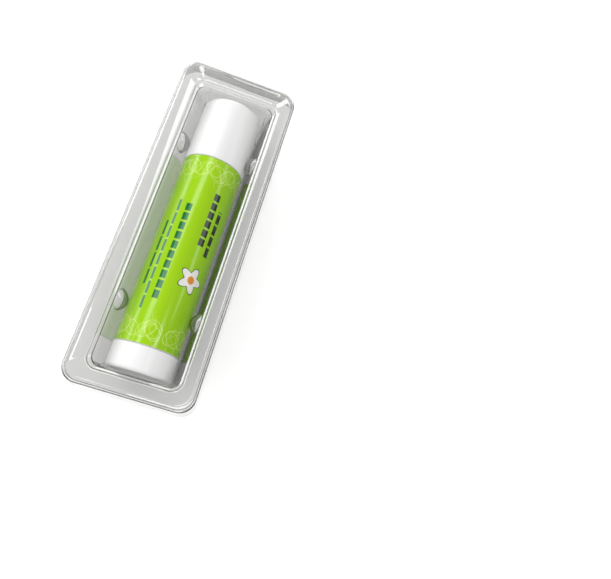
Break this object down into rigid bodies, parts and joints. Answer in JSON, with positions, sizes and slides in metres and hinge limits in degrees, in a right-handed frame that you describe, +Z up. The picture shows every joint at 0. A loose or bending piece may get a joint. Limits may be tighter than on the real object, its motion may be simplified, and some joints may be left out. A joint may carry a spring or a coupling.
{
  "type": "clear blister tray with lip balm",
  "caption": "Clear thermoformed tray with a flared skirt, sloping band and rounded trough, holding a lip balm stick clipped under round retaining bumps.",
  "frame": {"origin": "centre of the flat strip under the trough, on which the tray stands", "axes": "+Z up out of the open trough, +Y along the balm towards its cap, +X to the right seen from the wheel's end"},
  "size_m": [0.0316, 0.0892, 0.0172],
  "materials": {
    "clear_sheet": "clear glossy thermoformed sheet",
    "white_plastic": "smooth white moulded plastic",
    "label_film": "printed glossy lime green film",
    "carrier_plastic": "natural moulded plastic",
    "balm_wax": "pale soft wax"
  },
  "bodies": {
    "root": {"tray": "clear_sheet", "balm_cap": "white_plastic", "balm_barrel": "white_plastic", "balm_label": "label_film", "balm_wheel": "white_plastic", "balm_carrier": "carrier_plastic", "balm_stick": "balm_wax"}
  },
  "joints": []
}
